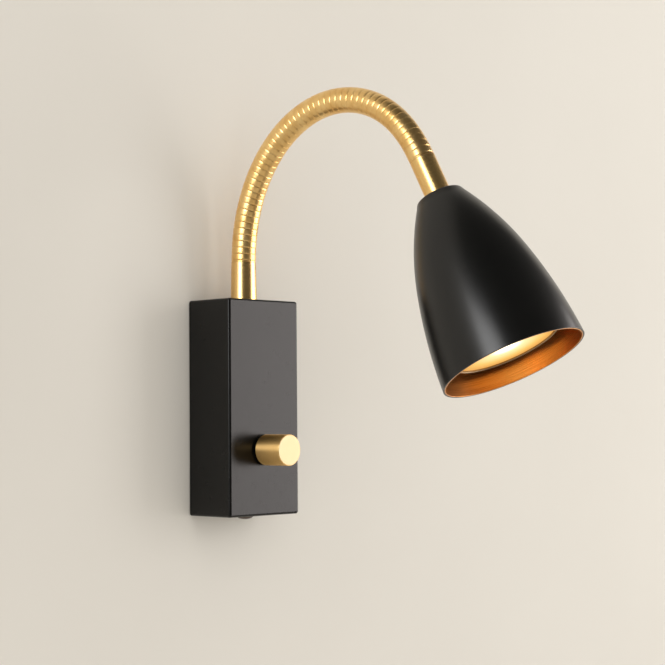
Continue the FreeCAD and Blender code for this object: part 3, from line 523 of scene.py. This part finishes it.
def box_shell():
    """Rings at (inset, depth) steps: an edge's arc moves a ring in as it moves it forward."""
    half_x, half_z = (box_high[0] - box_low[0]) / 2 / MM, (box_high[2] - box_low[2]) / 2 / MM
    depth = -box_low[1] / MM
    inner = depth - BOX_WALL
    arc = np.linspace(0, math.pi / 2, EDGE_STEPS + 1)
    edge = np.column_stack([EDGE_ROUND * (1 - np.cos(arc)), depth - EDGE_ROUND * (1 - np.sin(arc))])
    steps = [(half_x - FRONT_RING, inner), (BOX_WALL + INNER_BEVEL, inner)]
    steps += [(BOX_WALL, inner - INNER_BEVEL), (BOX_WALL, RIM_BEVEL)]
    steps += [(BOX_WALL - RIM_BEVEL, 0), (RIM_BEVEL, 0), (0, RIM_BEVEL)]
    steps += [tuple(step) for step in edge] + [(half_x - FRONT_RING, depth)]
    rings = []
    for inset, out in steps:
        ring = rounded_rectangle(half_x - inset, half_z - inset, max(EDGE_ROUND - inset, LEAST_CORNER))
        rings.append(np.column_stack([ring[:, 0], np.full(len(ring), -out), ring[:, 1]]) * MM)
    return grid_piece("box_shell", np.stack(rings), closed=False)


housing = dress(box_shell(), "wall_box", ["housing_cover"])
housing.data.materials.append(box_paint())
print("box shell of", len(housing.data.vertices), "points")

# %% [markdown]
# ## Turned brass pieces
# The foot tapers a little towards the neck, the sleeve is straight, and the knob is a plain
# cylinder with a fine chamfer and a pocket in its back. A cylinder with a bevel would come close,
# but a turned outline gives each edge its own small round. The ferrules' outlines are closed, and
# the knob's ends in two small flat faces on its axis.

# %% Ferrules and knob
FOOT_LENGTH, FOOT_RADIUS, SLEEVE_RADIUS, FERRULE_BORE = 20.0, 6.5, 6.1, 4.05
KNOB_RADIUS, KNOB_LENGTH, KNOB_GAP, KNOB_CHAMFER = 7.5, 16.0, 1.3, 0.35
KNOB_POCKET, POCKET_DEPTH = 6.3, 2.5
POLE = 0.3   # mm, radius of the small flat face that closes a turned piece in its middle
ferrule_brass = brushed_brass("ferrule_brass", (60, 0.6, 1), 0.26)
knob_brass = brushed_brass("knob_brass", (0.7, 60, 1), 0.46, anisotropy=0.8)
# the end face's brass is a darker copy: painted shade that dims the reflection on it
knob_face_shaded_brass = brushed_brass("knob_face_shaded_brass", (0.7, 60, 1), 0.55, tones=(SHADED_PALE_GOLD, SHADED_DULL_GOLD))


def make_ferrule(name, radius_low, radius_high, length, origin, axis):
    """A tube whose outside runs straight from one radius to another."""
    outline = rounded([
        (FERRULE_BORE, 0, 0),
        (radius_low, 0, 0.15),
        (radius_high, length, 0.3),
        (FERRULE_BORE, length, 0),
    ])
    piece = turned(name, outline, origin, axis)
    piece.data.materials.append(ferrule_brass)
    return piece


sleeve_length = np.linalg.norm(shade_top - partings[-1]) / MM - NECK_PARTING
dress(make_ferrule("foot_ferrule", FOOT_RADIUS, SLEEVE_RADIUS, FOOT_LENGTH - NECK_PARTING, foot, UP),
      "wall_box", ["base_ferrule"])
dress(make_ferrule("shade_ferrule", SLEEVE_RADIUS, SLEEVE_RADIUS, sleeve_length, shade_top, -head_axis),
      "head", ["head_ferrule"])


def make_knob():
    """The knob with its pocket; the faces that look straight out get darker brass as painted shade."""
    outline = rounded([
        (POLE, KNOB_LENGTH, 0),
        (KNOB_RADIUS - KNOB_CHAMFER, KNOB_LENGTH, 0.15),
        (KNOB_RADIUS, KNOB_LENGTH - KNOB_CHAMFER, 0.15),
        (KNOB_RADIUS, 0, 0.2),
        (KNOB_POCKET, 0, 0.1),
        (KNOB_POCKET, POCKET_DEPTH, 0),
        (POLE, POCKET_DEPTH, 0),
    ], steps=4)
    place = np.array([0, box_low[1] - KNOB_GAP * MM, middle("knob")[2]])
    piece = turned("knob_shell", outline, place, OUT, closed=False)
    piece.data.materials.append(knob_brass)
    piece.data.materials.append(knob_face_shaded_brass)
    facing = np.zeros(len(piece.data.polygons) * 3, np.float32)
    piece.data.polygons.foreach_get("normal", facing)
    # faces that look straight out get the darker brass: painted shade on the end face
    front = facing.reshape(-1, 3) @ OUT > 0.9
    piece.data.polygons.foreach_set("material_index", front.astype(np.int32))
    return piece


dress(make_knob(), "knob", ["knob"])
wire_brass = neck_brass()
for number, joint in enumerate(neck_joints):
    neck_piece(number, wire_brass)
print("neck of", len(neck_joints), "pieces,", round(link_length / MM, 2), "mm from parting to parting")

# %% [markdown]
# ## The shade
# The shade was spun from sheet. Its side is two arcs with a common tangent at the waist. The black
# outside and the copper inside are two shells that lie in each other, so each has one finish and
# the black one's thin edge shows at the mouth, as on the real shade.

# %% Shade
SHADE_LENGTH, SHADE_TOP, SHADE_MOUTH = 85.6, 10.6, 33.7
SHADE_WAIST, WAIST_DEPTH, SHADE_CURVE = 26.9, 38.6, 136.0
SHADE_WALL, BLACK_WALL, SHELL_GAP, SHADE_HOLE = 1.2, 0.7, 0.02, 4.3
SHADE_ROUND, CEILING_ROUND, RIM_ROUND = 1.5, 0.9, 0.14
SHOULDER_OUT, CEILING_OUT = 0.3, 0.4   # how far the two top corners stand out past the side's first point
CURVE_STEPS, SHADE_COLUMNS = 28, 192


def shade_side(inset):
    """(radius, depth) points down the side, moved inwards by an inset.

    Each arc is its centre plus an arm that swings from its first end to its last. The lower arc's
    centre lies on the waist's normal at the distance where the arc also meets the mouth.
    """
    top, waist = np.array([SHADE_TOP, 0]), np.array([SHADE_WAIST, WAIST_DEPTH])
    mouth = np.array([SHADE_MOUTH, SHADE_LENGTH])
    rise = waist - top
    across = unit(np.array([-rise[1], rise[0]]))
    reach = math.sqrt(SHADE_CURVE ** 2 - rise @ rise / 4)
    upper = (top + waist) / 2 + across * reach
    inwards = unit(upper - waist)
    chord = mouth - waist
    lower = waist + inwards * (chord @ chord) / (2 * chord @ inwards)
    points = []
    for centre, start, end in ((upper, top, waist), (lower, waist, mouth)):
        first, last = start - centre, end - centre
        angles = np.arctan2([first[1], last[1]], [first[0], last[0]])
        t = np.linspace(*angles, CURVE_STEPS + 1)
        length = np.linalg.norm(first) - inset
        points.append((centre + length * np.column_stack([np.cos(t), np.sin(t)]))[:-1])
    return np.vstack([*points, [SHADE_MOUTH - inset, SHADE_LENGTH]])


def shell_outline(outer, inner, level):
    """The closed outline of a shell between two insets, with a round shoulder at its top."""
    outside, inside = shade_side(outer), shade_side(inner)
    under = level + inner - outer
    outside = outside[outside[:, 1] > level + SHADE_ROUND]
    inside = inside[inside[:, 1] > under + SHADE_ROUND]
    shoulder = rounded([
        (SHADE_HOLE, level, 0),
        (shade_side(outer)[0, 0] + SHOULDER_OUT, level, SHADE_ROUND),
        (*outside[0], 0),
    ])
    ceiling = rounded([
        (*inside[0], 0),
        (shade_side(inner)[0, 0] + CEILING_OUT, under, CEILING_ROUND),
        (SHADE_HOLE, under, 0),
    ])
    edge = rounded([
        (*outside[-2], 0),
        (*outside[-1], RIM_ROUND),
        (*inside[-1], RIM_ROUND),
        (*inside[-2], 0),
    ], steps=4)
    return np.vstack([shoulder[:-1], outside[:-2], edge, inside[-3::-1], ceiling[1:]])


def make_shade():
    """The black shell outside and the copper-coloured one that lies in it."""
    outer, inset = shell_outline(0, BLACK_WALL, 0), BLACK_WALL + SHELL_GAP
    black = turned("shade_outside", outer, shade_top, head_axis, columns=SHADE_COLUMNS)
    black.data.materials.append(shade_paint())
    inner = shell_outline(inset, SHADE_WALL, inset)
    copper = turned("shade_lining", inner, shade_top, head_axis, columns=SHADE_COLUMNS)
    copper.data.materials.append(copper_lacquer())
    return black, copper


shade_outside, shade_lining = make_shade()
dress(shade_outside, "head", ["shade"])
dress(shade_lining, "head", ["shade"])
print("shade", SHADE_LENGTH, "mm long and", 2 * SHADE_MOUTH, "mm wide at its mouth")

# %% [markdown]
# ## The lamp in the shade
# The lamp's rim is a thin ring of dull, warm-toned aluminium round a lens with a slightly domed
# face. The lens sits a little inside the rim.

# %% Lamp
LAMP_RADIUS, LAMP_WALL, LAMP_RIM_HEIGHT, BASE_RADIUS = 25.0, 1.0, 8, 12.5
LENS_RADIUS, LENS_SET_IN, LENS_EDGE = 23.7, 0.2, 0.5
DOME_PLACE, DOME_FALL, DOME_ROUND = 0.6, 0.05, 30   # share of the radius; mm below the middle; mm
LAMP_METAL, DULL_LAMP_METAL = (0.42, 0.33, 0.22), (0.34, 0.26, 0.17)
lens_points = (node_points("lamp_lens") - shade_top) @ head_axis
lens_back, lens_front = lens_points.min() / MM, lens_points.max() / MM
lamp_face = lens_front + LENS_SET_IN
base_end = ((node_points("lamp_base") - shade_top) @ head_axis).max() / MM


def matt_aluminium():
    """Dull metal with faint clouds in its tone."""
    finish = Finish("lamp_aluminium", LAMP_METAL, 0.5, 1.0)
    finish.vary_roughness(finish.noise(500), 0.44, 0.56)
    finish.vary_colour(finish.noise(90), LAMP_METAL, DULL_LAMP_METAL)
    return finish.material


def make_lamp():
    """The reflector's cone with its straight rim, and the lens with its low dome."""
    shell = rounded([
        (BASE_RADIUS - LAMP_WALL, base_end, 0),
        (BASE_RADIUS, base_end, 0.2),
        (LAMP_RADIUS, lamp_face - LAMP_RIM_HEIGHT, 2.0),
        (LAMP_RADIUS, lamp_face, 0.4),
        (LAMP_RADIUS - LAMP_WALL, lamp_face, 0.3),
        (LAMP_RADIUS - LAMP_WALL, lens_back, 0),
        (LAMP_RADIUS - 2 * LAMP_WALL, lens_back, 0),
        (LAMP_RADIUS - 2 * LAMP_WALL, lamp_face - LAMP_RIM_HEIGHT, 0.5),
    ])
    reflector = turned("lamp_shell", shell, shade_top, head_axis)
    reflector.data.materials.append(matt_aluminium())
    dome = rounded([
        (POLE, lens_back, 0),
        (LENS_RADIUS, lens_back, 0),
        (LENS_RADIUS, lens_front - LENS_EDGE, 0.3),
        (LENS_RADIUS * DOME_PLACE, lens_front - DOME_FALL, DOME_ROUND),
        (POLE, lens_front, 0),
    ])
    lens = turned("lamp_lens_glow", dome, shade_top, head_axis, closed=False)
    lens.data.materials.append(lens_glow(shade_top + head_axis * lens_front * MM, LENS_RADIUS * MM))
    return reflector, lens


lamp_shell, lamp_lens = make_lamp()
dress(lamp_shell, "head", ["lamp_reflector"])
dress(lamp_lens, "head", ["lamp_lens"])
print("lamp's face", round(SHADE_LENGTH - lamp_face, 2), "mm above the shade's mouth")

# %% [markdown]
# ## The screw under the box
# This screw holds the cover on the bracket's tab. Its low round head is painted dark bronze. A
# squashed ball would bunch its faces at the rim, so a quarter of an ellipse is carried round.

# %% Cap
CAP_RADIUS, CAP_HEIGHT = 4.5, 2.2
STEM_RADIUS, STEM_LENGTH, STEM_POLE = 2.0, 1.8, 0.1
FIRST_ANGLE = 0.03   # radians from the axis to the dome's first ring


def make_cap():
    """A quarter of an ellipse, closed by a small flat face in its middle."""
    t = np.linspace(FIRST_ANGLE, math.pi / 2, 16)
    dome = np.column_stack([CAP_RADIUS * np.sin(t), CAP_HEIGHT * np.cos(t)])
    stem = [[STEM_RADIUS, 0.0], [STEM_RADIUS, -STEM_LENGTH], [STEM_POLE, -STEM_LENGTH]]
    outline = np.vstack([dome, stem])
    piece = turned("screw_cap", outline, [0, foot[1], box_low[2]], -UP, closed=False)
    piece.data.materials.append(bronze_cap())
    return piece


dress(make_cap(), "wall_box", ["cover_screw"])

# %% [markdown]
# ## Finishes of the pieces inside and behind
# The bracket, screws and nuts are zinc-plated steel, the grommet is rubber, the block and the
# capacitor are moulded plastic, the board is green laminate, and the lampholder is ceramic. They
# show from behind and from below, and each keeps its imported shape.


# %% Inner finishes
def plain_finish(name, light, dark, roughness, metallic=0.0, grain=700, stretch=(1, 1, 1), dent=0.1):
    """Two tones, a spread of roughness and a fine bump, all from noise at one grain."""
    finish = Finish(name, light, roughness, metallic)
    finish.vary_colour(finish.noise(grain / 4, stretch), light, dark)
    finish.vary_roughness(finish.noise(grain, stretch), roughness - 0.06, roughness + 0.06)
    finish.bump(finish.noise(grain, stretch), dent, 0.0001)
    return finish.material


inner_finishes = {
    "zinc_steel": plain_finish("zinc_plate", (0.62, 0.63, 0.62), (0.50, 0.51, 0.49), 0.32, 1.0),
    "dimmer_metal": plain_finish("dimmer_case", (0.56, 0.57, 0.58), (0.46, 0.46, 0.47), 0.38, 1.0),
    "rubber": plain_finish("grommet_rubber", (0.022, 0.022, 0.023), (0.03, 0.03, 0.031), 0.7),
    "block_plastic": plain_finish("block_plastic", (0.80, 0.80, 0.76), (0.74, 0.74, 0.70), 0.42),
    "board": plain_finish("board_laminate", (0.03, 0.15, 0.06), (0.02, 0.11, 0.045), 0.4),
    "wire": plain_finish("wire_insulation", (0.60, 0.59, 0.54), (0.54, 0.53, 0.48), 0.35),
    "holder_ceramic": plain_finish("holder_ceramic", (0.78, 0.75, 0.68), (0.70, 0.67, 0.60), 0.6),
    "lamp_body": matt_aluminium(),
    "brass": ferrule_brass,
}
slot_of = {part["node"]: part["material_slot"] for part in frame["record"]["subparts"]}
for node, packed in frame["nodes"].items():
    if not packed.hide_render:
        packed.data.materials.clear()
        packed.data.materials.append(inner_finishes[slot_of[node]])
print("kept nodes:", sorted(n for n, o in frame["nodes"].items() if not o.hide_render))

# %% [markdown]
# ## Wall and floor
# The lamp hangs on a pale plaster wall. The wall is clear from behind, so that rear views show the
# back of the lamp, which lies dark against it. Diffuse rays pass it, so it throws no bounced light
# on the lamp.

# %% Stage
WALL_COLOUR, WALL_SHADE = (0.800, 0.760, 0.695), (0.775, 0.735, 0.670)
WALL_SIZE, WALL_GAP, FLOOR_LEVEL = 6.0, 0.0004, -0.6


def plaster(name, see_through):
    """Chalky plaster; a see-through sheet turns transparent where its back shows."""
    finish = Finish(name, WALL_COLOUR, 0.9, Specular_IOR_Level=0.1)
    finish.vary_colour(finish.noise(5, detail=4), WALL_COLOUR, WALL_SHADE)
    finish.bump(finish.noise(160, detail=3), 0.08, 0.001)
    if see_through:
        side = finish.node("ShaderNodeNewGeometry")
        clear = finish.node("ShaderNodeBsdfTransparent")
        mix = finish.node("ShaderNodeMixShader")
        output = finish.tree.nodes["Material Output"]
        finish.join(side.outputs["Backfacing"], mix.inputs[0])
        finish.join(finish.shader.outputs["BSDF"], mix.inputs[1])
        finish.join(clear.outputs["BSDF"], mix.inputs[2])
        finish.join(mix.outputs["Shader"], output.inputs["Surface"])
    return finish.material


def make_sheet(name, corners, material):
    """One flat face of the stage."""
    mesh = bpy.data.meshes.new(name)
    mesh.from_pydata(corners, [], [(0, 1, 2, 3)])
    mesh.materials.append(material)
    sheet = bpy.data.objects.new(name, mesh)
    bpy.context.scene.collection.objects.link(sheet)
    return sheet


half = WALL_SIZE / 2
wall_corners = [(-half, WALL_GAP, FLOOR_LEVEL), (half, WALL_GAP, FLOOR_LEVEL)]
wall_corners += [(half, WALL_GAP, half), (-half, WALL_GAP, half)]
wall = make_sheet("wall", wall_corners, plaster("wall_plaster", True))
wall.visible_diffuse = False
floor_corners = [(-half, -half, FLOOR_LEVEL), (half, -half, FLOOR_LEVEL)]
floor_corners += [(half, half, FLOOR_LEVEL), (-half, half, FLOOR_LEVEL)]
make_sheet("floor", floor_corners, plaster("floor_plaster", False))

# %% [markdown]
# ## Light
# Two windows show only in reflections. The right one is what the box's front mirrors towards the
# camera, so the front is grey in the photograph and the side is nearly black. The left one, close
# to the wall, draws the bright band down the brass and the highlight on the shade. Two lamps that
# reflections don't show light the wall: a key on the right, for the soft shadows on the left, and
# a broad one in front. The room's own glow is bright as light and dim in reflections, so the room
# between the windows stays dark in the brass.

# %% Lamps and world
ROOM_GLOW, ROOM_MIRRORED = 0.62, 0.1   # the room's brightness, as light and in reflections


def soft_lamp(name, place, size, power, colour=(1, 1, 1), target=(0, 0, 0.05)):
    """An area lamp, with its size and place in metres, that faces the target."""
    data = bpy.data.lights.new(name, "AREA")
    data.shape, data.size, data.size_y, data.energy = "RECTANGLE", size[0], size[1], power
    lamp = bpy.data.objects.new(name, data)
    bpy.context.scene.collection.objects.link(lamp)
    data.color = colour
    lamp.location = place
    lamp.rotation_euler = (Vector(target) - Vector(place)).to_track_quat("-Z", "Y").to_euler()
    return lamp


right_window = soft_lamp("right_window", (1.16, -0.81, 0.20), (1.15, 1.1), 21.0, (1.0, 0.93, 0.90))
left_window = soft_lamp("left_window", (-1.15, -0.29, 0.34), (0.56, 0.66), 8.1)
right_key = soft_lamp("right_key", (1.12, -0.86, 0.10), (0.6, 1.0), 5.0)
front_fill = soft_lamp("front_fill", (-0.1, -2.2, 0.6), (3.2, 3.0), 23.0)
for lamp in (right_window, left_window):
    lamp.visible_diffuse = False
for lamp in (right_key, front_fill):
    lamp.visible_glossy = False

world = bpy.data.worlds.new("studio")
bpy.context.scene.world = world
world.use_nodes = True
room = world.node_tree.nodes["Background"]
room.inputs["Color"].default_value = (0.86, 0.84, 0.80, 1)
rays = world.node_tree.nodes.new("ShaderNodeLightPath")
strength = world.node_tree.nodes.new("ShaderNodeMapRange")
for socket, value in (("To Min", ROOM_GLOW), ("To Max", ROOM_MIRRORED)):
    strength.inputs[socket].default_value = value
world.node_tree.links.new(rays.outputs["Is Glossy Ray"], strength.inputs["Value"])
world.node_tree.links.new(strength.outputs["Result"], room.inputs["Strength"])
bpy.context.scene.view_settings.view_transform = "Standard"
